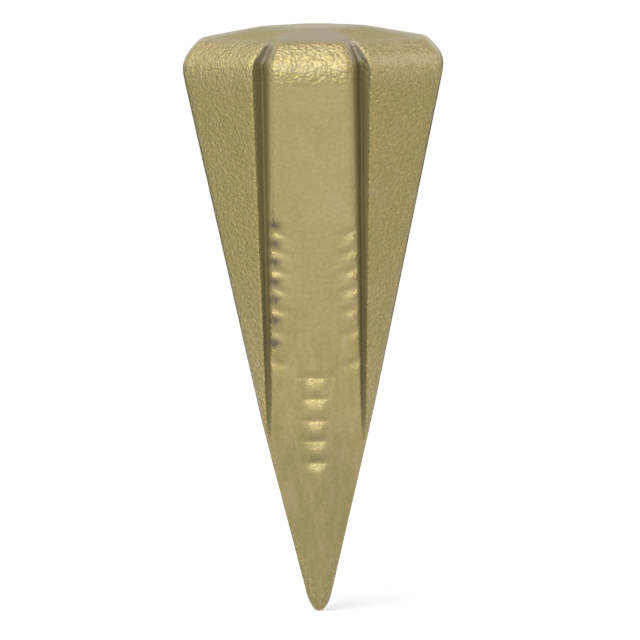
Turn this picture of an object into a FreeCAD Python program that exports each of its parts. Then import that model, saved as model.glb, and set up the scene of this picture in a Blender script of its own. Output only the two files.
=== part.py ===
import FreeCAD
import Part
import Sketcher
import math
import os

# A one-piece forged steel splitting wedge: point down on the origin, striking face up.
# +X is the wedge's right, -Y its front. Front and back carry the toothed lands.

doc = FreeCAD.newDocument("splitting_wedge")

driving_sizes = [
    ("length", 165.0, "point to striking face"),
    ("rim_reach", 37.2, "axis to the widest edge, before it is rounded"),
    ("rim_drop", 5.8, "shoulder edge down to the widest edge"),
    ("rim_radius", 7.5, "rounding of the widest edge"),
    ("shoulder_reach", 31.8, "axis to the shoulder edge above it"),
    ("crown_drop", 3.4, "striking face down to the shoulder edge"),
    ("shoulder_radius", 6.0, "rounding of the shoulder edge"),
    ("flat_half", 14.0, "half width of the flat striking face"),
    ("knee_height", 56.0, "where the nose begins"),
    ("knee_bulge", 0.9, "how far the knee stands out from a straight taper"),
    ("point_reach", 2.4, "axis to the nose faces at the point, before it is blunted"),
    ("point_radius", 2.2, "ball at the point"),
    ("point_angle", 35.0, "half angle of the cone behind the ball"),
    ("land_setback", 3.2, "leg of the wings at the knee, which sets how wide the lands are"),
    ("nose_corner", 1.6, "leg of the nose's corner facets"),
    ("side_radius", 4.5, "rounding of the edges between the side lands and the wings"),
    ("rib_top", 84.0, "where the middle rib leaves the land"),
    ("rib_flat_half", 1.5, "half width of the rib's crest"),
    ("rib_flank_angle", 20.5, "slope of the rib's sides"),
    ("low_land_angle", 15.8, "slope of the land beside the rib"),
    ("flute_depth", 8.5, "depth of the flutes below the land, at the rim"),
    ("flute_inset", 1.25, "how far they bite into the land's width there"),
    ("flute_floor", 0.5, "width of the flutes' floor"),
    ("flute_draft", 14.6, "draft of the wall on the land's side"),
    ("flute_flare", 29.0, "draft of the wall on the wing's side"),
    ("flute_end", 42.5, "height at which the flutes run out"),
    ("flute_end_depth", 1.3, "depth left at that height"),
    ("flute_climb", 12.0, "lean of their floor above the rim, back towards the axis"),
    ("flute_lean", 25.0, "sideways lean of the flutes above the rim"),
    ("tooth_first", 107.2, "height of the highest edge notch"),
    ("tooth_pitch", 5.6, "step from one edge notch to the next"),
    ("tooth_count", 6, "edge notches in the even row"),
    ("tooth_last_gap", 8.8, "step to the one below the row"),
    ("tooth_depth", 1.8, "depth of an edge notch at the land's edge"),
    ("tooth_reach", 5.8, "length of an edge notch in from the land's edge"),
    ("tooth_rise", 1.7, "rise of an edge notch over that length"),
    ("tooth_upper", 1.6, "height of the notch's upper face"),
    ("tooth_lower", 3.9, "height of its lower face"),
    ("step_first", 67.1, "height of the highest rib notch"),
    ("step_pitch", 6.1, "from one rib notch to the next"),
    ("step_count", 5, "rib notches"),
    ("step_half", 3.6, "half length of a rib notch"),
    ("step_depth", 1.3, "depth of a rib notch"),
    ("step_upper", 1.6, "height of its upper face"),
    ("step_lower", 4.3, "height of its lower face"),
]

sheet = doc.addObject("Spreadsheet::Sheet", "sizes")
for row, (name, value, note) in enumerate(driving_sizes, start=1):
    sheet.set(f"A{row}", name)
    sheet.set(f"B{row}", str(value))
    sheet.set(f"C{row}", note)
    sheet.setAlias(f"B{row}", name)
doc.recompute()

# Sizes that follow from the driving ones, as expressions.
shoulder_height = "(sizes.length - sizes.crown_drop)"
rim_height = f"({shoulder_height} - sizes.rim_drop)"
taper = f"((sizes.rim_reach - sizes.point_reach) / {rim_height})"
knee_reach = f"(sizes.point_reach + {taper} * sizes.knee_height + sizes.knee_bulge)"
face_slope = f"((sizes.rim_reach - {knee_reach}) / ({rim_height} - sizes.knee_height))"
nose_slope = f"(({knee_reach} - sizes.point_reach) / sizes.knee_height)"
land_half = f"({knee_reach} - sizes.land_setback)"

half_octant = "tan(22.5)"
shoulder_land = f"({land_half} - {half_octant} * (sizes.rim_reach - sizes.shoulder_reach))"
flat_land = f"({shoulder_land} - {half_octant} * (sizes.shoulder_reach - sizes.flat_half))"
corner_knee = f"(sizes.knee_height - (sizes.land_setback - sizes.nose_corner) / {nose_slope})"

over = 1.0  # how far a cutter passes the end of what it cuts
run_out = 2  # a notch's faces go on past the surface to this many times their height
bar_reach = "(sizes.rim_reach * sqrt(2))"  # the bar takes in a square as wide as the rim
far = f"({bar_reach} + {over})"
tooth_ends = (-0.3, 1.35)  # shares of an edge notch's length where its cutter starts and ends


def number(expression):
    """Value of an expression on the sheet."""
    return float(sheet.evalExpression(expression))


def face_at(height):
    """Distance from the axis to a main face, above the knee."""
    return f"({knee_reach} + {face_slope} * ({height} - sizes.knee_height))"


def nose_at(height):
    """The same on the nose, below the knee."""
    return f"({knee_reach} - {nose_slope} * (sizes.knee_height - {height}))"


def new_sketch(body, name, role, offset=None, turn=0):
    """Empty sketch on one of the body's origin planes, set off or turned about its up axis."""
    sketch = body.newObject("Sketcher::SketchObject", name)
    plane = next(item for item in body.Origin.OriginFeatures if item.Role == role)
    sketch.AttachmentSupport = (plane, [""])
    sketch.MapMode = "FlatFace"
    if turn:
        sketch.AttachmentOffset = FreeCAD.Placement(
            FreeCAD.Vector(), FreeCAD.Rotation(FreeCAD.Vector(0, 1, 0), turn)
        )
    if offset:
        sketch.setExpression("AttachmentOffset.Base.z", offset)
    return sketch


def hold(sketch, geometry, end, across, up):
    """Fix a point of a sketch at two expressions."""
    for kind, expression in (("DistanceX", across), ("DistanceY", up)):
        value = number(expression)
        index = sketch.addConstraint(Sketcher.Constraint(kind, -1, 1, geometry, end, value))
        sketch.setExpression(f"Constraints[{index}]", expression)


def outline(sketch, corners):
    """Closed outline through (across, up) or, for a rounded corner, (across, up, radius)."""
    places = [FreeCAD.Vector(number(c[0]), number(c[1]), 0) for c in corners]
    count = len(corners)
    start = [None] * count
    finish = [None] * count
    for i, corner in enumerate(corners):
        before = (places[i - 1] - places[i]).normalize()
        after = (places[(i + 1) % count] - places[i]).normalize()
        start[i] = finish[i] = places[i]
        if len(corner) == 3:
            half_turn = before.getAngle(after) / 2
            cut = number(corner[2]) / math.tan(half_turn)
            start[i] = places[i] + before * cut
            finish[i] = places[i] + after * cut
    lines = [
        sketch.addGeometry(Part.LineSegment(finish[i], start[(i + 1) % count]), False)
        for i in range(count)
    ]
    for i, corner in enumerate(corners):
        before, after = lines[i - 1], lines[i]
        if len(corner) == 2:
            sketch.addConstraint(Sketcher.Constraint("Coincident", before, 2, after, 1))
            hold(sketch, after, 1, corner[0], corner[1])
            continue
        to_start = (start[i] - places[i]).normalize()
        to_finish = (finish[i] - places[i]).normalize()
        middle_way = (to_start + to_finish).normalize()
        half_turn = to_start.getAngle(to_finish) / 2
        radius = number(corner[2])
        centre = places[i] + middle_way * (radius / math.sin(half_turn))
        middle = centre - middle_way * radius
        arc = sketch.addGeometry(Part.Arc(start[i], middle, finish[i]), False)
        arc_start = sketch.getPoint(arc, 1)
        first, second = (1, 2) if arc_start.distanceToPoint(start[i]) < 1e-6 else (2, 1)
        sketch.addConstraint(Sketcher.Constraint("Tangent", before, 2, arc, first))
        sketch.addConstraint(Sketcher.Constraint("Tangent", after, 1, arc, second))
        index = sketch.addConstraint(Sketcher.Constraint("Radius", arc, radius))
        sketch.setExpression(f"Constraints[{index}]", corner[2])
        point = sketch.addGeometry(Part.Point(places[i]), True)
        sketch.addConstraint(Sketcher.Constraint("PointOnObject", point, 1, before))
        sketch.addConstraint(Sketcher.Constraint("PointOnObject", point, 1, after))
        hold(sketch, point, 1, corner[0], corner[1])


def polar(body, feature, count):
    """Repeat a feature about the wedge's axis."""
    pattern = body.newObject("PartDesign::PolarPattern", feature.Name + "_round")
    pattern.Originals = [feature]
    axis = next(item for item in body.Origin.OriginFeatures if item.Role == "Z_Axis")
    pattern.Axis = (axis, [""])
    pattern.Angle = 360
    pattern.Occurrences = count
    body.Tip = pattern
    doc.recompute()


def repeat(body, feature, name, rows, planes):
    """Repeat a feature down one or more rows, then mirror the rows in the origin planes."""
    pattern = body.newObject("PartDesign::MultiTransform", name)
    pattern.Originals = [feature]
    steps = []
    for row in rows:
        line, count, spacing = row
        step = doc.addObject("PartDesign::LinearPattern", name + "_row")
        step.Direction = (line, ["Edge1"])
        step.Mode = "Spacing"
        step.setExpression("Offset", spacing)
        step.setExpression("Occurrences", count)
        steps.append(step)
    for role in planes:
        step = doc.addObject("PartDesign::Mirrored", name + "_mirror")
        plane = next(item for item in body.Origin.OriginFeatures if item.Role == role)
        step.MirrorPlane = (plane, [""])
        steps.append(step)
    pattern.Transformations = steps
    body.Tip = pattern
    doc.recompute()


def cut_loft(body, name, sketches):
    """Remove a straight-sided loft through sketches of equal corner count."""
    loft = body.newObject("PartDesign::SubtractiveLoft", name)
    loft.Profile = sketches[0]
    loft.Sections = sketches[1:]
    loft.Ruled = True
    body.Tip = loft
    doc.recompute()
    return loft


def billet(body):
    """Round bar that the wedge is shaped from."""
    bar = body.newObject("PartDesign::AdditiveCylinder", "billet")
    bar.setExpression("Radius", bar_reach)
    bar.setExpression("Height", "sizes.length")
    doc.recompute()


def face_cut(body, name, turn, flat, shoulder, rim, knee, knee_up, point):
    """Cut one face from crown to point, then its three fellows round the axis."""
    crown_run = f"({over} * ({shoulder} - {flat}) / sizes.crown_drop)"
    point_run = f"({over} * ({knee} - {point}) / {knee_up})"
    corners = [
        (f"{flat} - {crown_run}", f"sizes.length + {over}"),
        (shoulder, shoulder_height, "sizes.shoulder_radius"),
        (rim, rim_height, "sizes.rim_radius"),
        (knee, knee_up),
        (f"{point} - {point_run}", f"0 - {over}"),
        (far, f"0 - {over}"),
        (far, f"sizes.length + {over}"),
    ]
    sketch = new_sketch(body, name + "_profile", "XZ_Plane", turn=turn)
    outline(sketch, corners)
    doc.recompute()
    pocket = body.newObject("PartDesign::Pocket", name)
    pocket.Profile = sketch
    pocket.Type = "ThroughAll"
    pocket.SideType = "Symmetric"
    body.Tip = pocket
    doc.recompute()
    polar(body, pocket, 4)


def main_faces(body):
    """The four lands' faces, square to the origin planes."""
    face_cut(
        body, "face", 0, "sizes.flat_half", "sizes.shoulder_reach", "sizes.rim_reach",
        knee_reach, "sizes.knee_height", "sizes.point_reach",
    )


def wing_faces(body):
    """The four wings between the lands, running out into the nose's corner facets."""
    face_cut(
        body, "wing", 45,
        f"((sizes.flat_half + {flat_land}) / sqrt(2))",
        f"((sizes.shoulder_reach + {shoulder_land}) / sqrt(2))",
        f"((sizes.rim_reach + {land_half}) / sqrt(2))",
        f"((2 * {land_half} + sizes.nose_corner) / sqrt(2))",
        corner_knee,
        "((2 * sizes.point_reach - sizes.nose_corner) / sqrt(2))",
    )


def side_rounding(body):
    """Round the four edges beside the side lands, from the knee up and on over the crown."""
    base = body.Tip
    knee = number("sizes.knee_height")
    names = []
    for i, edge in enumerate(base.Shape.Edges, start=1):
        box = edge.BoundBox
        runs_up = box.ZMin < knee + over and box.ZMax > knee + over
        if runs_up and abs(box.Center.x) > abs(box.Center.y):
            names.append(f"Edge{i}")
    fillet = body.newObject("PartDesign::Fillet", "side_rounding")
    fillet.Base = (base, names)
    fillet.setExpression("Radius", "sizes.side_radius")
    body.Tip = fillet
    doc.recompute()


def point(body):
    """Ball and cone that blunt the point."""
    ball = "sizes.point_radius"
    touch_across = f"({ball} * cos(sizes.point_angle))"
    touch_up = f"({ball} * (1 - sin(sizes.point_angle)))"
    cone_up = "(4 * sizes.point_reach)"
    cone_across = f"({touch_across} + tan(sizes.point_angle) * ({cone_up} - {touch_up}))"
    sketch = new_sketch(body, "point_profile", "XZ_Plane")
    middle_turn = math.radians(number("(90 + sizes.point_angle) / 2"))
    radius = number(ball)
    centre = FreeCAD.Vector(0, radius, 0)
    touch = FreeCAD.Vector(number(touch_across), number(touch_up), 0)
    middle = centre + FreeCAD.Vector(math.cos(middle_turn), -math.sin(middle_turn), 0) * radius
    arc = sketch.addGeometry(Part.Arc(FreeCAD.Vector(), middle, touch), False)
    corners = [
        (touch_across, touch_up),
        (cone_across, cone_up),
        (f"2 * {cone_across}", cone_up),
        (f"2 * {cone_across}", f"0 - {over}"),
        ("0", f"0 - {over}"),
        ("0", "0"),
    ]
    places = [FreeCAD.Vector(number(c[0]), number(c[1]), 0) for c in corners]
    lines = [
        sketch.addGeometry(Part.LineSegment(places[i], places[i + 1]), False)
        for i in range(len(places) - 1)
    ]
    for i, line in enumerate(lines):
        hold(sketch, line, 1, *corners[i])
    hold(sketch, lines[-1], 2, *corners[-1])
    for before, after in zip(lines, lines[1:]):
        sketch.addConstraint(Sketcher.Constraint("Coincident", before, 2, after, 1))
    sketch.addConstraint(Sketcher.Constraint("Coincident", arc, 2, lines[0], 1))
    sketch.addConstraint(Sketcher.Constraint("Coincident", arc, 1, lines[-1], 2))
    index = sketch.addConstraint(Sketcher.Constraint("Radius", arc, radius))
    sketch.setExpression(f"Constraints[{index}]", ball)
    doc.recompute()
    groove = body.newObject("PartDesign::Groove", "point")
    groove.Profile = sketch
    groove.ReferenceAxis = (sketch, ["V_Axis"])
    groove.Angle = 360
    body.Tip = groove
    doc.recompute()


def middle_rib(body):
    """Set the land back on both sides of a rib that grows out of it towards the point."""
    stations = [
        (f"(sizes.rib_top + {over})", face_at),
        ("sizes.knee_height", face_at),
        (f"(0 - {over})", nose_at),
    ]
    sketches = []
    for i, (height, crest_at) in enumerate(stations):
        setback = f"tan(sizes.low_land_angle) * (sizes.rib_top - {height})"
        land = f"({face_at('sizes.rib_top')} - {setback})"
        rise = f"({crest_at(height)} - {land})"
        crease = f"(sizes.rib_flat_half + {rise} / tan(sizes.rib_flank_angle))"
        outside = f"({land} + {rise} + 2 * {over})"
        lean = f"({outside} - {land}) / tan(sizes.rib_flank_angle)"
        sketch = new_sketch(body, f"rib_station_{i + 1}", "XY_Plane", offset=height)
        outline(sketch, [
            (crease, f"0 - {land}"),
            (f"({crease} + sizes.rim_reach)", f"0 - {land}"),
            (f"({crease} + sizes.rim_reach)", f"0 - {outside}"),
            (f"{crease} - {lean}", f"0 - {outside}"),
        ])
        sketches.append(sketch)
    doc.recompute()
    cheek = cut_loft(body, "rib_side", sketches)
    repeat(body, cheek, "rib_sides", [], ["YZ_Plane", "XZ_Plane"])


def flutes(body):
    """Flutes between land and wing, following the rim over onto the crown."""
    draft = "tan(sizes.flute_draft)"
    rim_floor = "(sizes.rim_reach - sizes.flute_depth)"
    rim_inner = f"({land_half} - sizes.flute_inset + sizes.flute_depth * {draft})"
    end_floor = f"({nose_at('sizes.flute_end')} - sizes.flute_end_depth)"
    end_inner = f"({land_half} + sizes.flute_end_depth * {draft})"
    climb = f"(sizes.length + {over} - {rim_height})"
    top_floor = f"({rim_floor} - {climb} * tan(sizes.flute_climb))"
    top_inner = f"({rim_inner} - {climb} * tan(sizes.flute_lean))"
    clear_end = f"(sizes.flute_end_depth + {over})"
    clear_rim = f"(sizes.flute_depth + {over})"
    stations = [
        ("sizes.flute_end", end_inner, end_floor, clear_end),
        (rim_height, rim_inner, rim_floor, clear_rim),
        (f"(sizes.length + {over})", top_inner, top_floor, clear_rim),
    ]
    sketches = []
    for i, (height, inner, floor, rise) in enumerate(stations):
        outer = f"({inner} + sizes.flute_floor)"
        sketch = new_sketch(body, f"flute_station_{i + 1}", "XY_Plane", offset=height)
        outline(sketch, [
            (inner, f"0 - {floor}"),
            (outer, f"0 - {floor}"),
            (f"{outer} + {rise} * tan(sizes.flute_flare)", f"0 - ({floor} + {rise})"),
            (f"{inner} - {rise} * {draft}", f"0 - ({floor} + {rise})"),
        ])
        sketches.append(sketch)
    doc.recompute()
    flute = cut_loft(body, "flute", sketches)
    repeat(body, flute, "flutes", [], ["YZ_Plane", "XZ_Plane"])


def notch_corners(valley_out, valley_up, depth, upper, lower, slope):
    """Corners of a notch in side view: its valley, and both faces run out past the surface."""
    return [
        (f"0 - ({valley_out})", valley_up),
        (
            f"0 - ({valley_out} + {run_out} * ({depth} + {slope} * {upper}))",
            f"{valley_up} + {run_out} * {upper}",
        ),
        (
            f"0 - ({valley_out} + {run_out} * ({depth} - {slope} * {lower}))",
            f"{valley_up} - {run_out} * {lower}",
        ),
    ]


def row_line(body, name, slope):
    """Line that gives the way down a face, for a row of notches to follow."""
    sketch = new_sketch(body, name, "YZ_Plane")
    across = f"sizes.length * {slope}"
    foot = FreeCAD.Vector(number(across), -number("sizes.length"), 0)
    line = sketch.addGeometry(Part.LineSegment(FreeCAD.Vector(), foot), False)
    hold(sketch, line, 1, "0", "0")
    hold(sketch, line, 2, across, "0 - sizes.length")
    doc.recompute()
    return sketch


def edge_notches(body):
    """Slanted notches down both long edges of the front and back lands."""
    sketches = []
    for i, share in enumerate(tooth_ends):
        across = f"({land_half} + sizes.tooth_reach * {share - 1:.2f})"
        up = f"(sizes.tooth_first + sizes.tooth_rise * {share})"
        valley = f"({face_at(up)} - sizes.tooth_depth * {share})"
        sketch = new_sketch(body, f"edge_notch_station_{i + 1}", "YZ_Plane", offset=across)
        outline(sketch, notch_corners(
            valley, up, "sizes.tooth_depth", "sizes.tooth_upper", "sizes.tooth_lower", face_slope
        ))
        sketches.append(sketch)
    doc.recompute()
    notch = cut_loft(body, "edge_notch", sketches)
    line = row_line(body, "edge_row", face_slope)
    even = [(line, "sizes.tooth_count", f"sizes.tooth_pitch / cos(atan({face_slope}))")]
    repeat(body, notch, "edge_notches", even, ["YZ_Plane", "XZ_Plane"])
    whole = "((sizes.tooth_count - 1) * sizes.tooth_pitch + sizes.tooth_last_gap)"
    last = [(line, "2", f"{whole} / cos(atan({face_slope}))")]
    repeat(body, notch, "last_edge_notch", last, ["YZ_Plane", "XZ_Plane"])


def rib_notches(body):
    """Level notches down the crest of the front and back ribs."""
    slope = f"(({face_slope} + {nose_slope}) / 2)"
    valley = f"({face_at('sizes.step_first')} - sizes.step_depth)"
    sketch = new_sketch(body, "rib_notch_profile", "YZ_Plane")
    outline(sketch, notch_corners(
        valley, "sizes.step_first", "sizes.step_depth", "sizes.step_upper", "sizes.step_lower", slope
    ))
    doc.recompute()
    pocket = body.newObject("PartDesign::Pocket", "rib_notch")
    pocket.Profile = sketch
    pocket.Type = "Length"
    pocket.SideType = "Symmetric"
    pocket.setExpression("Length", "2 * sizes.step_half")
    body.Tip = pocket
    doc.recompute()
    line = row_line(body, "rib_row", slope)
    rows = [(line, "sizes.step_count", f"sizes.step_pitch / cos(atan({slope}))")]
    repeat(body, pocket, "rib_notches", rows, ["XZ_Plane"])


def forged_wedge():
    """The whole wedge, one forging."""
    body = doc.addObject("PartDesign::Body", "forged_wedge")
    body.Label = "forged_wedge"
    steps = (
        billet, main_faces, wing_faces, side_rounding,
        point, middle_rib, flutes, edge_notches, rib_notches,
    )
    volume = 0
    for step in steps:
        step(body)
        doc.recompute()
        after = body.Shape.Volume
        if volume and after >= volume:
            raise RuntimeError(f"{step.__name__} removed nothing")
        volume = after
        print(f"{step.__name__}: {volume / 1000:.2f} cm3")
    return body


pieces = [forged_wedge()]
doc.recompute()

for item in doc.Objects:
    if "Invalid" in item.State or "Error" in item.State:
        raise RuntimeError(f"{item.Name} failed: {item.State}")

os.makedirs("parts", exist_ok=True)
for piece in pieces:
    shape = piece.Shape
    if shape.isNull() or not shape.isValid():
        raise RuntimeError(f"{piece.Label} has no sound shape")
    shape.exportStep(f"parts/{piece.Label}.step")
    box = shape.BoundBox
    print(f"{piece.Label}: {len(shape.Solids)} solid, {shape.Volume / 1000:.1f} cm3,"
          f" {box.XLength:.2f} x {box.YLength:.2f} x {box.ZLength:.2f} mm")
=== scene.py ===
import math

import bmesh
import bpy
import numpy as np
from mathutils import Matrix, Vector, noise


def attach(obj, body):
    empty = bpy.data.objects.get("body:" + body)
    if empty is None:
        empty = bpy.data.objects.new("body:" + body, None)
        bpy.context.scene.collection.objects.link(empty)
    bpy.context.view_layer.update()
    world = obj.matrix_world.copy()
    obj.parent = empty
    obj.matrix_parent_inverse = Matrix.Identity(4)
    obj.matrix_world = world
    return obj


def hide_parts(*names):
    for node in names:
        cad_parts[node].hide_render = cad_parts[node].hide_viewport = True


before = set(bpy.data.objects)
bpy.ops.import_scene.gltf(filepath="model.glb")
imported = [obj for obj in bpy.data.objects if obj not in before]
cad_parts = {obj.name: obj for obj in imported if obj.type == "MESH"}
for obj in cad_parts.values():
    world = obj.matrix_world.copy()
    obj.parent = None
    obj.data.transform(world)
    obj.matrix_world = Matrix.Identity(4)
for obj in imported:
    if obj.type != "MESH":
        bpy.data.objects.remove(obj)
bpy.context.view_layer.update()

bpy.context.scene.view_settings.view_transform = "Standard"


# the camera stands a little above the wedge and a touch to its right
cameraSetup = {            # metres and degrees
    "target": (0.00109, 0.0, 0.0820),
    "distance": 4.0,
    "azimuth": 1.1,        # positive towards +X
    "elevation": 3.9,      # seen from the middle of the wedge
    "roll": 0.62,          # the wedge leans a little to the left
    "lens": 799.875, "sensorWidth": 36,     # these two in millimetres
    "clipStart": 0.05, "clipEnd": 50,
}


def makeCamera():
    c = cameraSetup
    data = bpy.data.cameras.new("camera")
    data.sensor_width, data.lens = c["sensorWidth"], c["lens"]
    data.clip_start, data.clip_end = c["clipStart"], c["clipEnd"]
    camera = bpy.data.objects.new("camera", data)
    bpy.context.scene.collection.objects.link(camera)
    a, e = math.radians(c["azimuth"]), math.radians(c["elevation"])
    back = Vector((math.sin(a) * math.cos(e), -math.cos(a) * math.cos(e), math.sin(e)))
    facing = (-back).to_track_quat("-Z", "Y").to_matrix()
    turn = facing @ Matrix.Rotation(math.radians(-c["roll"]), 3, "Z")
    place = Vector(c["target"]) + back * c["distance"]
    camera.matrix_world = Matrix.Translation(place) @ turn.to_4x4()
    bpy.context.scene.camera = camera


# the forging is a grid bent round the axis and pressed onto the wedge's planes
millimetre = 0.001

wedgeForm = {              # millimetres and degrees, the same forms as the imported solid
    "length": 165.0,
    "rimReach": 37.2, "rimDrop": 5.8, "rimSoft": 3.4, "landRimSoft": 4.8,
    "shoulderReach": 31.8, "crownDrop": 3.4, "shoulderSoft": 0.6,
    "flatHalf": 14.0, "flatSoft": 0.35,
    "kneeHeight": 56.0, "kneeReach": 15.81, "kneeSoft": 0.2,
    "pointReach": 2.4, "pointRadius": 2.2, "pointAngle": 35.0, "pointSoft": 0.6,
    "landHalf": 12.61, "noseCorner": 1.6, "cornerKnee": 49.32, "edgeSoft": 0.3,
    "lowSideSoft": 0.3, "sideSoft": 1.37, "topSideSoft": 0.15, "sideRound": 1.9,
    "sideSoftHeights": (44, 58),            # the side land's edges get softer between these
    "ribTop": 84.0, "ribFlatHalf": 1.5, "ribFlankAngle": 20.5, "lowLandAngle": 15.8,
    "ribSoft": 0.3, "creaseSoft": 0.8,
    "fluteDepth": 8.5, "fluteFloor": 0.5, "fluteDraft": 14.6, "fluteInset": 1.25,
    "fluteFlare": 29.0, "fluteEnd": 42.5, "fluteEndDepth": 1.3, "fluteEndSoft": 0.5,
    "fluteLean": 25.0, "fluteClimb": 12.0, "fluteSoft": 0.4,
    "lipSoft": 0.6, "wingLipSoft": 0.6,
    "toothSoft": 1.8,                       # added where the lip is a crest between notches
    "topLipSoft": 0.8, "topLipHeights": (113, 119),     # and above the rows of notches
}

notchForm = {              # valleys are heights of the notches' inner ends
    "edgeValleys": [107.3, 102.0, 96.5, 91.2, 85.4, 78.9, 70.3],
    "edgeDepth": 1.15, "edgeReach": 6.6, "edgeRise": 1.7, "edgeUpper": 1.8, "edgeLower": 3.5,
    "edgeOverrun": 0.3,    # share of its reach that a notch runs on past its inner end
    "edgeClear": 0.4, "ribClear": 0.5,      # how far outside the notches the plain land counts
    "farAway": 50.0,       # clear of every notch
    "crestDrop": 0.4,      # a crest is this far under the lower end of the notch above
    "crestSpan": (1.56, 0.36),              # from a crest, where its softer lip starts and is full
    "ribValleys": [67.1, 61.0, 54.9, 49.0, 42.8],
    "ribDepth": 1.2, "ribDeepens": 0.008, "ribUpper": 2.1, "ribLower": 3.8,
    "ribHalf": 4.0, "ribTopHalf": 3.0, "ribEndSoft": 0.9,
    "bend": 1.2, "soft": 0.3,
}

meshPlan = {               # millimetres
    "fanHeight": 146.0,    # above this the rows fan out over the crown
    "tipHeight": 4.2,      # below this they fan in under the point
    "tipReach": 3.4, "tipRows": 12, "tipEase": 0.8,
    "fineFrom": 39.0, "fineTo": 113.0, "fineStep": 0.37, "coarseStep": 0.66,
    "fanStep": 0.7, "fanEnd": 1.0,          # the rows' step up to the rim, and where it ends below it
    "rimStart": 0.9, "crownRows": (3, 17, 22), "flatRows": 9,
    "keyReach": 26.5,      # nearer the axis the crown's key rays stay the same
    "keyHeights": (46, 52),                 # below the flutes the key rays are plainer
    "plainShares": (.12, .24, .36, .7, 1),
    "crestShare": 0.3, "creaseShare": 0.86,     # the rib's key rays on a narrow land, at most
    "leastCrease": 1.5, "leastRise": 0.3, "leastCorner": 0.1, "lipGap": 0.1,
    "lowRound": 0.35,      # the side land's edge below the knee
    "roundShare": 0.7,     # of that edge's round, where a key ray meets it
    "columnShares": (      # where the columns stand between one key line and the next
        (0, .5, .85),
        (0, .12, .35, .6, .85),
        (0, .08, .2, .32, .44, .55, .65, .74, .82, .89, .945, .98),
        (0, .04, .12, .28, .5, .72, .9),
        (0, .5),
        (0, .25, .5, .75, .92),
        (0, .02, .08, .2, .34, .48, .62, .76, .9),
        (0, .17, .33, .5, .67, .83),
        (0, .1, .3, .5, .7, .9),
    ),
    "rayLength": 60.0, "rayHalvings": 34,
    "mergeGap": 0.004,
}


def softMax(a, b, soft):
    h = np.clip(soft - np.abs(a - b), 0, None) / soft
    return np.maximum(a, b) + h * h * soft / 4


def ramp(value, ends):
    # 0 at the first of the two ends and before it, 1 at the second and past it
    start, full = ends
    return np.clip((value - start) / (full - start), 0, 1)


def tangent(degrees):
    return math.tan(math.radians(degrees))


def outsideLine(reach, z, low, high):
    # distance outside the straight face through two (reach, height) points
    dr, dz = high[0] - low[0], high[1] - low[1]
    return ((reach - low[0]) * dz - (z - low[1]) * dr) / math.hypot(dr, dz)


def derivedForm(f):
    # what follows from the sizes: profiles of the faces and of the flutes
    d = {}
    shoulder = f["length"] - f["crownDrop"]
    rim = shoulder - f["rimDrop"]
    d["rim"] = rim
    root, eighth = math.sqrt(2), tangent(22.5)      # the wings stand at 45 degrees
    shoulderLand = f["landHalf"] - eighth * (f["rimReach"] - f["shoulderReach"])
    flatLand = shoulderLand - eighth * (f["shoulderReach"] - f["flatHalf"])
    d["main"] = ((f["pointReach"], 0), (f["kneeReach"], f["kneeHeight"]), (f["rimReach"], rim),
                 (f["shoulderReach"], shoulder), (f["flatHalf"], f["length"]))
    d["wing"] = (((2 * f["pointReach"] - f["noseCorner"]) / root, 0),
                 ((2 * f["landHalf"] + f["noseCorner"]) / root, f["cornerKnee"]),
                 ((f["rimReach"] + f["landHalf"]) / root, rim),
                 ((f["shoulderReach"] + shoulderLand) / root, shoulder),
                 ((f["flatHalf"] + flatLand) / root, f["length"]))
    endReach = np.interp(f["fluteEnd"], (0, f["kneeHeight"]), (f["pointReach"], f["kneeReach"]))
    draft = tangent(f["fluteDraft"])
    rimFloor = f["rimReach"] - f["fluteDepth"]
    rimInner = f["landHalf"] - f["fluteInset"] + f["fluteDepth"] * draft
    climb = f["length"] - rim
    d["fluteHeights"] = (f["fluteEnd"], rim, f["length"])
    d["fluteFloors"] = (endReach - f["fluteEndDepth"], rimFloor,
                        rimFloor - climb * tangent(f["fluteClimb"]))
    d["fluteInners"] = (f["landHalf"] + f["fluteEndDepth"] * draft, rimInner,
                        rimInner - climb * tangent(f["fluteLean"]))
    return d


form = derivedForm(wedgeForm)


def reachAt(z, profile="main"):
    points = form[profile]
    return np.interp(z, [p[1] for p in points], [p[0] for p in points])


def faceOutside(reach, z, profile, rimSoft=wedgeForm["rimSoft"]):
    f = wedgeForm
    p = form[profile]
    body = softMax(outsideLine(reach, z, p[0], p[1]), outsideLine(reach, z, p[1], p[2]), f["kneeSoft"])
    body = softMax(body, outsideLine(reach, z, p[2], p[3]), rimSoft)
    return softMax(body, outsideLine(reach, z, p[3], p[4]), f["shoulderSoft"])


def lowLandAt(z):
    f = wedgeForm
    return reachAt(f["ribTop"]) - tangent(f["lowLandAngle"]) * (f["ribTop"] - z)


def straightReach(z):
    # the land's plane, straight on above the rim
    p = form["main"]
    low, high = p[1], p[2]
    return np.where(z > low[1], low[0] + (high[0] - low[0]) * (z - low[1]) / (high[1] - low[1]),
                    low[0] + (low[0] - p[0][0]) * (z - low[1]) / low[1])


def landReach(z):
    # the land beside the rib, set back below the rib's top
    return np.minimum(straightReach(z), lowLandAt(z))


def fluteLine(z):
    # the flute's floor: how deep it lies, and its inner side
    return (np.interp(z, form["fluteHeights"], form["fluteFloors"]),
            np.interp(z, form["fluteHeights"], form["fluteInners"]))


def lipAt(z):
    # how far from the middle the land's edge along the flute stands
    floor, inner = fluteLine(z)
    return inner - (straightReach(z) - floor) * tangent(wedgeForm["fluteDraft"])


def pointOutside(x, y, z):
    f = wedgeForm
    radius, angle = f["pointRadius"], math.radians(f["pointAngle"])
    across = np.hypot(x, y)
    up = z - radius
    cone = across * math.cos(angle) - up * math.sin(angle) - radius
    ball = np.hypot(across, up) - radius
    return np.where(across * math.sin(angle) + up * math.cos(angle) > 0, cone, ball)


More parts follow.
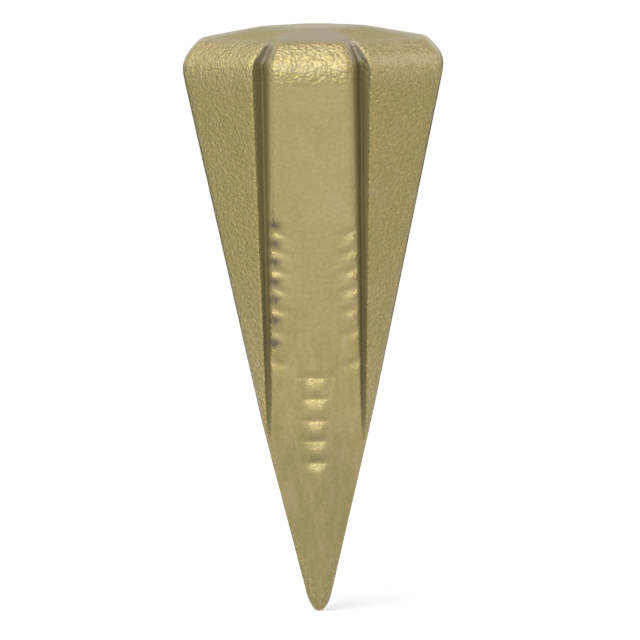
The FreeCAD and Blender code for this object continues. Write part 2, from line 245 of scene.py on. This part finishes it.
def ribSides(reach, side, z):
    # the land set back beside the rib: negative where it is cut away
    f = wedgeForm
    flank = tangent(f["ribFlankAngle"])
    crest = straightReach(z)
    outsideFlank = ((side - f["ribFlatHalf"]) * flank - (crest - reach)) / math.hypot(1, flank)
    return softMax(lowLandAt(z) - reach, -outsideFlank, f["creaseSoft"])


def flute(reach, side, z):
    # negative inside a flute
    f = wedgeForm
    floor, inner = fluteLine(z)
    draft, flare = tangent(f["fluteDraft"]), tangent(f["fluteFlare"])
    landWall = (inner - (reach - floor) * draft - side) / np.hypot(1, draft)
    wingWall = (side - inner - f["fluteFloor"] - (reach - floor) * flare) / math.hypot(1, flare)
    cut = softMax(softMax(landWall, floor - reach, f["fluteSoft"]), wingWall, f["fluteSoft"])
    return softMax(cut, f["fluteEnd"] - z, f["fluteEndSoft"])


def edgeNotches(reach, side, z):
    # negative inside a notch along the land's edge
    n = notchForm
    slope = (form["main"][2][0] - form["main"][1][0]) / (form["main"][2][1] - form["main"][1][1])
    upper = (n["edgeDepth"] + slope * n["edgeUpper"]) / n["edgeUpper"]
    share = (side - wedgeForm["landHalf"]) / n["edgeReach"] + 1     # 0 at the inner end, 1 at the edge
    depth = n["edgeDepth"] * (1 - np.clip(1 - share, 0, 2) ** 2)
    cut = np.full_like(reach, n["farAway"])
    for height in n["edgeValleys"]:
        valley = height + n["edgeRise"] * share
        above = (landReach(valley) - depth + upper * (z - valley) - reach) / math.hypot(1, upper)
        down = np.clip((valley - z) / n["edgeLower"], -1, 1)
        below = landReach(z) - depth * (1 - down) ** n["bend"] - reach
        below = np.where(valley - z > n["edgeLower"], n["edgeClear"], below)
        cut = np.minimum(cut, softMax(above, below, n["soft"]))
    return np.maximum(cut, (-n["edgeOverrun"] - share) * n["edgeReach"])


def crestBelow(valley):
    # height of the crest under an edge notch, at the land's edge
    n = notchForm
    return valley + n["edgeRise"] - n["edgeLower"] - n["crestDrop"]


def toothShare(z):
    # 1 beside the crests between edge notches, 0 beside the notches and away from the rows
    share = np.zeros_like(z)
    for valley in notchForm["edgeValleys"][:-1]:
        share = np.maximum(share, ramp(np.abs(z - crestBelow(valley)), notchForm["crestSpan"]))
    return share


def ribNotches(reach, side, z):
    # negative inside a notch across the rib
    n = notchForm
    depth = np.full_like(reach, -n["ribClear"])
    for valley in n["ribValleys"]:
        up, down = (z - valley) / n["ribUpper"], (valley - z) / n["ribLower"]
        here = np.where(up > 0, 1 - up, np.clip(1 - down, 0, None) ** n["bend"])
        here = np.where((up < 1) & (down < 1), here, 0)
        deepest = n["ribDepth"] * (1 + (n["ribValleys"][2] - valley) * n["ribDeepens"])
        depth = np.maximum(depth, np.where(here > 0, here * deepest, -n["ribClear"]))
    half = np.interp(z, (n["ribValleys"][1], n["ribValleys"][0]), (n["ribHalf"], n["ribTopHalf"]))
    return softMax(straightReach(z) - depth - reach, side - half, n["ribEndSoft"])


def plainOutside(x, y, z):
    # the wedge's faces and point, without flutes, rib or notches; front and back are alike
    f = wedgeForm
    land, side = faceOutside(y, z, "main", f["landRimSoft"]), faceOutside(x, z, "main")
    wing = faceOutside((x + y) / math.sqrt(2), z, "wing")
    sideSoft = np.interp(z, (*f["sideSoftHeights"], form["rim"], f["length"]),
                         (f["lowSideSoft"], f["sideSoft"], f["sideSoft"], f["topSideSoft"]))
    body = softMax(softMax(land, wing, f["edgeSoft"]), side, sideSoft)
    body = softMax(body, z - f["length"], f["flatSoft"])
    return softMax(body, pointOutside(x, y, z), f["pointSoft"])


def outside(x, y, z):
    # how far a place is outside the wedge, negative inside
    f = wedgeForm
    x, y = np.abs(x), np.abs(y)
    body = softMax(plainOutside(x, y, z), -ribSides(y, x, z), f["ribSoft"])
    inner = fluteLine(z)[1]
    landLip = f["lipSoft"] + toothShare(z) * f["toothSoft"]
    landLip += ramp(z, f["topLipHeights"]) * f["topLipSoft"]
    lip = np.where(x < inner + f["fluteFloor"] / 2, landLip, f["wingLipSoft"])
    body = softMax(body, -flute(y, x, z), lip)
    body = softMax(body, -edgeNotches(y, x, z), f["edgeSoft"])
    return softMax(body, -ribNotches(y, x, z), notchForm["soft"])


def keyRays(z, reach):
    # one row's key rays on a quarter: where each starts on the X axis, and its turn from the front
    f, m = wedgeForm, meshPlan
    edge = min(f["landHalf"], reach - f["noseCorner"])
    crest = min(f["ribFlatHalf"], edge * m["crestShare"])
    flank = float(straightReach(z) - lowLandAt(z)) / tangent(f["ribFlankAngle"])
    crease = min(crest + max(flank, m["leastCrease"]), edge * m["creaseShare"])
    floor, inner = [float(side) for side in fluteLine(z)]
    floor = min(floor, reach)
    outer = inner + f["fluteFloor"]
    wingLine = math.sqrt(2) * float(reachAt(z, "wing"))
    rise = max(m["leastRise"], (wingLine - outer - floor) / (1 + tangent(f["fluteFlare"])))
    wingTop = outer + rise * tangent(f["fluteFlare"])
    lip = min(inner - (reach - floor) * tangent(f["fluteDraft"]), inner - m["lipGap"])
    corner = wingLine - reach
    bite = f["sideRound"] if z > f["kneeHeight"] else m["lowRound"]
    near = m["roundShare"] * bite
    places = [(reach - near, corner + near), (reach, max(corner - bite, m["leastCorner"]))]
    starts = [0, crest, crease, lip, inner, outer, wingTop] + [wingTop] * 3
    turns = [0] * 7 + [math.atan2(x - wingTop, y) for x, y in places] + [math.pi / 2]
    last = math.atan2(reach - edge, edge)
    plainStarts = [0, crest, crease] + [edge] * 7
    plainTurns = [0] * 4 + [last * k for k in m["plainShares"]] + [math.pi / 2]
    share = float(ramp(z, m["keyHeights"]))
    return [(p + (a - p) * share, q + (b - q) * share)
            for p, a, q, b in zip(plainStarts, starts, plainTurns, turns)]


def rowPlan():
    # every row: the height that its rays start from, their rise, and its key rays
    m = meshPlan
    rows = []
    for i in range(m["tipRows"]):
        rise = -math.pi / 2 * (1 - (i / m["tipRows"]) ** m["tipEase"])
        rows.append((m["tipHeight"], rise, keyRays(m["tipHeight"], m["tipReach"])))
    z = m["tipHeight"]
    while z < m["fanHeight"]:
        rows.append((z, 0.0, keyRays(z, float(reachAt(z)))))
        z += m["fineStep"] if m["fineFrom"] < z < m["fineTo"] else m["coarseStep"]
    heights = np.arange(m["fanHeight"], form["rim"] - m["fanEnd"], m["fanStep"])
    path = [(float(reachAt(h)), h) for h in heights]
    rimStart = form["rim"] - m["rimStart"]
    corners = ((float(reachAt(rimStart)), rimStart),) + form["main"][2:]
    for (reachA, zA), (reachB, zB), count in zip(corners, corners[1:], m["crownRows"]):
        path += [(reachA + (reachB - reachA) * k / count, zA + (zB - zA) * k / count)
                 for k in range(count)]
    count = m["flatRows"]
    path += [(wedgeForm["flatHalf"] * (1 - k / count), wedgeForm["length"]) for k in range(count + 1)]
    keys = None
    for reach, height in path:
        if keys is None or reach > m["keyReach"]:
            keys = keyRays(height, reach)
        rows.append((m["fanHeight"], math.atan2(height - m["fanHeight"], reach), keys))
    return rows


def columnRays(keys):
    # starts and turns of all the way round, from the front and back to it
    columnShares = meshPlan["columnShares"]
    quarter = []
    for (startA, turnA), (startB, turnB), shares in zip(keys, keys[1:-1], columnShares):
        quarter += [(startA + (startB - startA) * k, turnA + (turnB - turnA) * k) for k in shares]
    # the side land's columns stand evenly along it
    start, turn = keys[-2]
    quarter += [(start, math.atan(math.tan(turn) / (1 - k))) for k in columnShares[-1]]
    quarter.append(keys[-1])
    quarter = np.maximum.accumulate(np.array(quarter), axis=0)
    half = np.vstack((quarter, [(start, math.pi - turn) for start, turn in quarter[-2::-1]]))
    return np.vstack((half, [(-start, math.pi * 2 - turn) for start, turn in half[-2::-1]]))


def castRays(start, direction):
    # where rays from inside leave the wedge, by halving
    near, far = np.zeros(len(start)), np.full(len(start), meshPlan["rayLength"])
    for _ in range(meshPlan["rayHalvings"]):
        middle = (near + far) / 2
        p = start + direction * middle[:, None]
        isOut = outside(p[:, 0], p[:, 1], p[:, 2]) > 0
        far = np.where(isOut, middle, far)
        near = np.where(isOut, near, middle)
    return start + direction * ((near + far) / 2)[:, None]


skin = {                   # the forging's own unevenness, all of it inwards, in millimetres
    "coarseDepth": 0.16, "coarseScale": 0.32,
    "fineDepth": 0.10, "fineScale": 0.95, "fineOffset": (7, 3, 5),
    "landShare": 0.3,      # the lands were pressed smoother than the wings
    "lipShare": 2.0, "pitShare": 2.0,
}

areas = {                  # millimetres; a pair tells where a surface starts and where it is full
    "wingFace": (-1.6, -0.2),               # outside the wing's face
    "coarseRim": (-7, -3),                  # above the rim, as the next four
    "greyFlute": (-0.5, 1.5),
    "greyCrown": (3, 5),
    "dullCrown": (5.2, 6.4),
    "lumpHeight": 0.2, "lumpSpan": (6.5, 1.5),          # the lumps' middle, and up and down from it
    "greyReach": (31, 28), "greyMiddle": (19, 13),      # from the axis
    "cornerWidth": 4.0,                     # the grey painted reflection and the lumps fade towards the wings over this
    "greyEven": 0.6, "leastGrey": 0.1,
    "lumpEven": 0.8, "leastLumps": 0.4,
    "fluteEdge": (0.5, 0), "fluteSkin": (0, 0.5),       # outside the flute, and below the faces
    "grooveHalf": 0.5,
    "wallWidth": (0, 0.4), "wallSpared": 0.46,           # the land's wall gets less of the flutes' dull paint and painted shade
    "lipHalf": 0.9, "lipSkin": (1.5, 0), "lipHeights": (48, 56),
    "ragged": 1.6, "raggedHeights": (124, 118),         # one lip of each land came out rougher
    "wingRagged": 0.3,                      # and the wings' lips smooth
    "topPit": 112.5,       # a pit above the rows, placed as the others under their valleys
    "pitInset": 1.0, "pitHalfWidth": 1.85, "pitHalfHeight": 1.25,
}


def surfaceShares(x, y, z):
    # for each place: coarse skin, wings below the rim, flutes, their lips, the grey striking face, glossy
    # coat, the pits along one lip that carry a painted dark reflection, lumps at the rim, the flutes' floors
    a = areas
    onRaggedSide = x * y > 0
    x, y = np.abs(x), np.abs(y)
    # pits along one lip of each land, later given a painted dark reflection
    pit = np.zeros_like(z)
    for valley in [a["topPit"]] + notchForm["edgeValleys"][:-1]:
        across = (x - lipAt(z) + a["pitInset"]) / a["pitHalfWidth"]
        up = (z - crestBelow(valley)) / a["pitHalfHeight"]
        pit = np.maximum(pit, np.exp(-across ** 2 - up ** 2))
    pit *= onRaggedSide
    inner = fluteLine(z)[1]
    ragged = 1 + a["ragged"] * onRaggedSide * ramp(z, a["raggedHeights"])
    ragged = np.where(x < inner, ragged, a["wingRagged"])
    aboveRim = z - form["rim"]
    land, diagonal = np.maximum(x, y), (x + y) / math.sqrt(2)
    reach = np.maximum(land, diagonal)
    toLand = (land - diagonal) / a["cornerWidth"]
    onWing = ramp(faceOutside(diagonal, z, "wing"), a["wingFace"])
    overRim = ramp(aboveRim, a["coarseRim"])
    cut = flute(y, x, z)
    below = -plainOutside(x, y, z)
    inFlute = ramp(cut, a["fluteEdge"]) * ramp(below, a["fluteSkin"])
    # where the flutes' floors get painted shade
    groove = np.exp(-((x - inner - wedgeForm["fluteFloor"] / 2) / a["grooveHalf"]) ** 2) * inFlute
    # the land's wall gets less of the flutes' dull paint and painted shade
    inFlute *= 1 - a["wallSpared"] * ramp(inner - x, a["wallWidth"])
    lip = np.exp(-(cut / a["lipHalf"]) ** 2) * ramp(below, a["lipSkin"]) * ramp(z, a["lipHeights"])
    # where the striking face gets its grey painted reflection
    bare = ramp(reach, a["greyReach"]) * ramp(aboveRim, a["greyCrown"])
    bare *= np.maximum(np.clip(a["greyEven"] + toLand, a["leastGrey"], 1), ramp(reach, a["greyMiddle"]))
    lumpy = ramp(np.abs(aboveRim - a["lumpHeight"]), a["lumpSpan"])
    lumpy *= np.clip(a["lumpEven"] + toLand, a["leastLumps"], 1)
    gloss = (1 - ramp(aboveRim, a["dullCrown"])) * (1 - inFlute) * (1 - pit)
    return {"coarse": np.maximum(onWing, overRim) * (1 - bare), "wing": onWing * (1 - overRim),
            "hollow": inFlute, "lip": lip * ragged,
            "bare": np.maximum(bare, inFlute * ramp(aboveRim, a["greyFlute"])),
            "gloss": gloss, "pit": pit, "lumpy": lumpy * (1 - inFlute), "groove": groove}


def makeForging():
    rows = rowPlan()
    rays = np.array([columnRays(keys) for _, _, keys in rows])
    columns = rays.shape[1] - 1
    bm = bmesh.new()
    bmesh.ops.create_grid(bm, x_segments=columns, y_segments=len(rows) - 1, size=1)
    bm.verts.ensure_lookup_table()
    grid = np.array([v.co for v in bm.verts])
    column = np.rint((grid[:, 0] + 1) / 2 * columns).astype(int)
    row = np.rint((grid[:, 1] + 1) / 2 * (len(rows) - 1)).astype(int)
    startX, turn = rays[row, column].T
    rise = np.array([r[1] for r in rows])[row]
    start = np.zeros_like(grid)
    start[:, 0] = startX
    start[:, 2] = np.array([r[0] for r in rows])[row]
    direction = np.stack((np.cos(rise) * np.sin(turn), -np.cos(rise) * np.cos(turn), np.sin(rise)), 1)
    placed = castRays(start, direction)
    for vert, place in zip(bm.verts, placed):
        vert.co = place
    bmesh.ops.remove_doubles(bm, verts=bm.verts, dist=meshPlan["mergeGap"])
    bmesh.ops.recalc_face_normals(bm, faces=bm.faces)
    bm.normal_update()
    places = np.array([v.co for v in bm.verts])
    shares = surfaceShares(places[:, 0], places[:, 1], places[:, 2])
    layers = {name: bm.verts.layers.float.new(name) for name in shares}
    share = skin["landShare"] + (1 - skin["landShare"]) * shares["coarse"]
    share += skin["lipShare"] * shares["lip"] + skin["pitShare"] * shares["pit"]
    for i, vert in enumerate(bm.verts):
        for name, layer in layers.items():
            vert[layer] = float(shares[name][i])
        broad = 0.5 + 0.5 * noise.noise(vert.co * skin["coarseScale"])
        fine = 0.5 + 0.5 * noise.noise(vert.co * skin["fineScale"] + Vector(skin["fineOffset"]))
        depth = skin["coarseDepth"] * broad + skin["fineDepth"] * fine
        vert.co -= vert.normal * float(share[i]) * depth
    bmesh.ops.scale(bm, vec=[millimetre] * 3, verts=bm.verts)
    mesh = bpy.data.meshes.new("forging")
    bm.to_mesh(mesh)
    bm.free()
    for face in mesh.polygons:
        face.use_smooth = True
    forging = bpy.data.objects.new("forging", mesh)
    bpy.context.scene.collection.objects.link(forging)
    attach(forging, "root")
    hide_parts("forged_wedge")
    print("forging:", len(mesh.vertices), "vertices,", len(mesh.polygons), "faces")
    return forging


class Socket:
    # a node socket that takes part in plain arithmetic
    def __init__(self, tree, link):
        self.tree, self.link = tree, link

    def math(self, operation, *values):
        return self.tree.add("ShaderNodeMath", {"operation": operation}, dict(enumerate(values)))

    def __add__(self, other):
        return self.math("ADD", self, other)

    def __radd__(self, other):
        return self.math("ADD", other, self)

    def __sub__(self, other):
        return self.math("SUBTRACT", self, other)

    def __rsub__(self, other):
        return self.math("SUBTRACT", other, self)

    def __mul__(self, other):
        return self.math("MULTIPLY", self, other)

    def __rmul__(self, other):
        return self.math("MULTIPLY", other, self)


class Nodes:
    # one material's or world's node tree
    def __init__(self, owner):
        owner.use_nodes = True
        self.tree = owner.node_tree
        self.tree.nodes.clear()

    def add(self, kind, settings=None, inputs=None, output=0):
        node = self.tree.nodes.new(kind)
        for name, value in (settings or {}).items():
            if name == "stops":
                stops = node.color_ramp.elements
                while len(stops) < len(value):
                    stops.new(0.5)
                for stop, (place, color) in zip(stops, value):
                    stop.position, stop.color = place, color
            else:
                setattr(node, name, value)
        for name, value in (inputs or {}).items():
            socket = node.inputs[name]
            if isinstance(value, Socket):
                self.tree.links.new(value.link, socket)
            else:
                socket.default_value = value
        return Socket(self, node.outputs[output]) if node.outputs else None

    def mixColor(self, factor, a, b, blend="MIX"):
        return self.add("ShaderNodeMix", {"data_type": "RGBA", "blend_type": blend, "clamp_factor": True},
                        {0: factor, 6: a, 7: b}, output=2)

    def rise(self, value, ends):
        # 0 at the first of the two ends, 1 at the second and past it
        return self.add("ShaderNodeMapRange", {}, {"Value": value, "From Min": ends[0], "From Max": ends[1]})

    def noise(self, place, pattern):
        scale, detail, roughness = pattern
        return self.add("ShaderNodeTexNoise", {"noise_dimensions": "3D"},
                        {"Vector": place, "Scale": scale, "Detail": detail, "Roughness": roughness})


goldPaint = {
    "color": (0.314, 0.253, 0.096, 1),
    "greenColor": (0.274, 0.228, 0.074, 1),
    "tanColor": (0.360, 0.279, 0.124, 1),
    "greenTone": 0.3, "plainTone": 0.5, "tanTone": 0.7,
    "hammerTone": 0.6, "coarseTone": 0.8, "patchTone": 0.5, "streakTone": 0.9,     # what varies it
    "wingShade": (0.87, 0.865, 0.70, 1),     # painted shade: the wings' faces darker and greener than the lands
    "wingShadeFade": (0.100, 0.060),             # metres of height over which that painted shade fades out going down
    "noseShade": (0.87, 0.88, 0.90, 1),      # painted shade, darker towards the point
    "noseHeights": (0.060, 0.044),
    "hollowShadeColor": (0.255, 0.223, 0.096, 1),    # dull paint down in the flutes, its colour darkened as painted shade
    "lowHollowShadeColor": (0.20, 0.17, 0.070, 1),   # deeper painted shade where they run out
    "hollowHeights": (0.115, 0.075),
    "grooveShade": (0.76, 0.76, 0.76, 1),    # painted shade along the flutes' floors
    "greyFaceColor": (0.325, 0.288, 0.208, 1),  # the smoother striking face, its grey a painted reflection of the pale backdrop at a flat angle
    "greyFaceRagged": 1.2, "greyFaceEdge": (0.15, 0.85),
    "pitReflectionColor": (0.078, 0.070, 0.064, 1),   # painted dark reflection in the pits
    "pitWeight": 0.8,
    "edgeTint": (0.92, 0.87, 0.74, 1),      # of the metal seen at a flat angle
    "metallic": 0.92, "hollowMetallic": 0.35,
    "roughness": 0.41, "grainRoughness": 0.12, "hollowRoughness": 0.3,
    "coatWeight": 0.7,
    "coatRoughness": 0.28,
    # waves per metre, detail and roughness of the patterns
    "grain": (1500, 3.0, 0.6),              # of the sprayed coat
    "hammer": (1100, 1.5, 0.5),             # of the forging's skin
    "patches": (60, 4.0, 0.6),              # broad and faint, all over
    "lumps": (390, 1.0, 0.5),               # round the rim
    "streaks": (420, 3.0, 0.6),             # rub marks along the nose
    "streakSquash": 0.1, "streakHeights": (0.088, 0.072),
    "pebbleScale": 1150, "pebbleSmoothness": 1.0,       # rounded grains of the skin
    # how much each gives to the bump, and where
    "pebbleRelief": -0.5, "grainRelief": 0.4, "lumpRelief": 0.9, "streakRelief": 0.15,
    "coarseRelief": 0.85, "lumpyLoss": 0.1, "lipRelief": 0.1, "plainRelief": 0.1,
    "bumpDepth": 0.0012, "bumpStrength": 0.8,
}


def paintGold():
    g = goldPaint
    material = bpy.data.materials.new("goldPaint")
    nodes = Nodes(material)
    place = nodes.add("ShaderNodeTexCoord", output="Object")
    height = nodes.add("ShaderNodeSeparateXYZ", {}, {"Vector": place}, output="Z")
    coarse, wing, hollow, groove, lip, bare, gloss, pit, lumpy = [
        nodes.add("ShaderNodeAttribute", {"attribute_name": name}, output="Fac")
        for name in ("coarse", "wing", "hollow", "groove", "lip", "bare", "gloss", "pit", "lumpy")]
    grain = nodes.noise(place, g["grain"])
    hammered = nodes.noise(place, g["hammer"])
    pebbles = nodes.add("ShaderNodeTexVoronoi", {"feature": "SMOOTH_F1"}, {
        "Vector": place, "Scale": g["pebbleScale"], "Smoothness": g["pebbleSmoothness"]}, output="Distance")
    patches = nodes.noise(place, g["patches"])
    along = nodes.add("ShaderNodeMapping", {}, {"Vector": place, "Scale": (1, 1, g["streakSquash"])})
    streaks = (nodes.noise(along, g["streaks"]) - 0.5) * nodes.rise(height, g["streakHeights"])
    tone = (hammered - 0.5) * (coarse * g["coarseTone"] + g["hammerTone"])
    tone = tone + patches * g["patchTone"] + (1 - g["patchTone"]) / 2 + streaks * g["streakTone"]
    color = nodes.add("ShaderNodeValToRGB", {"stops": (
        (g["greenTone"], g["greenColor"]), (g["plainTone"], g["color"]),
        (g["tanTone"], g["tanColor"]))}, {"Fac": tone})
    # painted shade darkens the wings, less towards their lower ends
    color = nodes.mixColor(wing * (1 - nodes.rise(height, g["wingShadeFade"])), color, g["wingShade"], "MULTIPLY")
    # painted shade on the nose, darker towards the point
    color = nodes.mixColor(nodes.rise(height, g["noseHeights"]), color, g["noseShade"], "MULTIPLY")
    # the flutes' colour is painted shade, darker further down
    down = nodes.mixColor(nodes.rise(height, g["hollowHeights"]), g["hollowShadeColor"], g["lowHollowShadeColor"])
    color = nodes.mixColor(hollow, color, down)
    # painted shade along the flutes' floors
    color = nodes.mixColor(groove, color, g["grooveShade"], "MULTIPLY")
    # the striking face's grey: painted reflection of the pale backdrop at a flat angle
    bare = nodes.rise(bare + (patches - 0.5) * g["greyFaceRagged"], g["greyFaceEdge"])
    color = nodes.mixColor(bare, color, g["greyFaceColor"])
    # painted dark reflection in the pits along one lip
    color = nodes.mixColor(pit * g["pitWeight"], color, g["pitReflectionColor"])
    lumps = nodes.noise(place, g["lumps"]) * lumpy * g["lumpRelief"]
    rough = coarse * (g["coarseRelief"] - lumpy * g["lumpyLoss"]) + lip * g["lipRelief"] + g["plainRelief"]
    relief = (pebbles * g["pebbleRelief"] + grain * g["grainRelief"]) * rough
    relief = relief + lumps + streaks * g["streakRelief"]
    bump = nodes.add("ShaderNodeBump", {}, {
        "Strength": g["bumpStrength"], "Distance": g["bumpDepth"], "Height": relief})
    roughness = grain * g["grainRoughness"] + (g["roughness"] - g["grainRoughness"] / 2)
    roughness = roughness + hollow * g["hollowRoughness"]
    metallic = g["metallic"] - hollow * (g["metallic"] - g["hollowMetallic"])
    shader = nodes.add("ShaderNodeBsdfPrincipled", {}, {
        "Base Color": color, "Metallic": metallic, "Roughness": roughness, "Normal": bump,
        "Specular Tint": g["edgeTint"],
        "Coat Weight": gloss * g["coatWeight"], "Coat Roughness": g["coatRoughness"]})
    nodes.add("ShaderNodeOutputMaterial", {}, {"Surface": shader})
    return material


# white all round, a dark card behind, soft lamps in front and beside
studio = {                 # metres, degrees and watts
    "diffuseWorld": 0.5,
    "skyStrength": 1.65, "skyPlace": (-0.45, -0.5, 1.1), "skyAngle": 60,
    "keyPower": 12, "keyPlace": (-0.35, -1.32, 0.72), "keySize": 0.8,
    "rightPower": 2.5, "leftPower": 1.0, "sidePlace": (1.06, 0.14, 0.69), "sideSize": 0.6,
    "rightColor": (1, 0.92, 0.95), "leftColor": (0.95, 1, 0.85),
    "aim": (0, 0, 0.08),
    "floorColor": (0.6, 0.6, 0.6, 1), "floorHalf": 6, "floorPlace": (0, 0, -0.0001), "floorGlow": 0.44,
    "cardBrightness": 0.02, "cardPlace": (-0.09, 0.30, 0.085), "cardSize": (0.86, 0.17),
}


def seenRays(nodes):
    # 1 for the rays that look at a thing: straight, in gloss or through glass
    kinds = [nodes.add("ShaderNodeLightPath", output=name)
             for name in ("Is Camera Ray", "Is Glossy Ray", "Is Transmission Ray")]
    return kinds[0].math("MAXIMUM", kinds[0], kinds[1].math("MAXIMUM", kinds[1], kinds[2]))


def makeWorld():
    world = bpy.data.worlds.new("studio")
    bpy.context.scene.world = world
    nodes = Nodes(world)
    strength = seenRays(nodes) * (1 - studio["diffuseWorld"]) + studio["diffuseWorld"]
    background = nodes.add("ShaderNodeBackground", {}, {"Color": (1, 1, 1, 1), "Strength": strength})
    nodes.add("ShaderNodeOutputWorld", {}, {"Surface": background})


def areaLamp(name, place, size, power, color=(1, 1, 1)):
    lamp = bpy.data.lights.new(name, "AREA")
    lamp.shape = "SQUARE"
    lamp.size, lamp.energy, lamp.color = size, power, color
    lampObject = bpy.data.objects.new(name, lamp)
    bpy.context.scene.collection.objects.link(lampObject)
    lampObject.location = place
    aim = Vector(studio["aim"]) - Vector(place)
    lampObject.rotation_euler = aim.to_track_quat("-Z", "Y").to_euler()


def skyLamp():
    # one broad soft light high in front, that lights the whole floor alike
    lamp = bpy.data.lights.new("skyLamp", "SUN")
    lamp.energy, lamp.angle = studio["skyStrength"], math.radians(studio["skyAngle"])
    lampObject = bpy.data.objects.new("skyLamp", lamp)
    bpy.context.scene.collection.objects.link(lampObject)
    lampObject.location = studio["skyPlace"]
    lampObject.rotation_euler = (-Vector(studio["skyPlace"])).to_track_quat("-Z", "Y").to_euler()


def makeFloor():
    # a pale sheet under the point, white to the eye, that keeps the wedge's shadow
    bm = bmesh.new()
    bmesh.ops.create_grid(bm, x_segments=1, y_segments=1, size=studio["floorHalf"])
    mesh = bpy.data.meshes.new("floor")
    bm.to_mesh(mesh)
    bm.free()
    floor = bpy.data.objects.new("floor", mesh)
    bpy.context.scene.collection.objects.link(floor)
    floor.location = studio["floorPlace"]
    material = bpy.data.materials.new("paleFloor")
    nodes = Nodes(material)
    shader = nodes.add("ShaderNodeBsdfDiffuse", {}, {"Color": studio["floorColor"]})
    glow = nodes.add("ShaderNodeEmission", {}, {
        "Color": (1, 1, 1, 1), "Strength": seenRays(nodes) * studio["floorGlow"]})
    both = nodes.add("ShaderNodeAddShader", {}, {0: shader, 1: glow})
    nodes.add("ShaderNodeOutputMaterial", {}, {"Surface": both})
    mesh.materials.append(material)


def makeCard():
    # a dark card behind the wedge, that the eye doesn't see, only the metal's edges
    c = studio
    material = bpy.data.materials.new("darkCard")
    nodes = Nodes(material)
    shader = nodes.add("ShaderNodeEmission", {}, {"Color": (1, 1, 1, 1), "Strength": c["cardBrightness"]})
    nodes.add("ShaderNodeOutputMaterial", {}, {"Surface": shader})
    bm = bmesh.new()
    bmesh.ops.create_grid(bm, x_segments=1, y_segments=1, size=0.5)
    bmesh.ops.scale(bm, vec=(*c["cardSize"], 1), verts=bm.verts)
    bmesh.ops.rotate(bm, cent=(0, 0, 0), matrix=Matrix.Rotation(math.pi / 2, 3, "X"), verts=bm.verts)
    bmesh.ops.translate(bm, vec=c["cardPlace"], verts=bm.verts)
    mesh = bpy.data.meshes.new("darkCard")
    bm.to_mesh(mesh)
    bm.free()
    card = bpy.data.objects.new("darkCard", mesh)
    bpy.context.scene.collection.objects.link(card)
    card.visible_camera = False
    card.visible_shadow = False
    card.visible_diffuse = False
    mesh.materials.append(material)


makeCamera()
print("camera ready")
forging = makeForging()
forging.data.materials.append(paintGold())
print("paint ready")
makeWorld()
makeFloor()
makeCard()
skyLamp()
areaLamp("keyLamp", studio["keyPlace"], studio["keySize"], studio["keyPower"])
for hand, side in (("right", 1), ("left", -1)):
    x, y, z = studio["sidePlace"]
    areaLamp(hand + "Lamp", (side * x, y, z), studio["sideSize"],
             studio[hand + "Power"], studio[hand + "Color"])
print("studio ready")
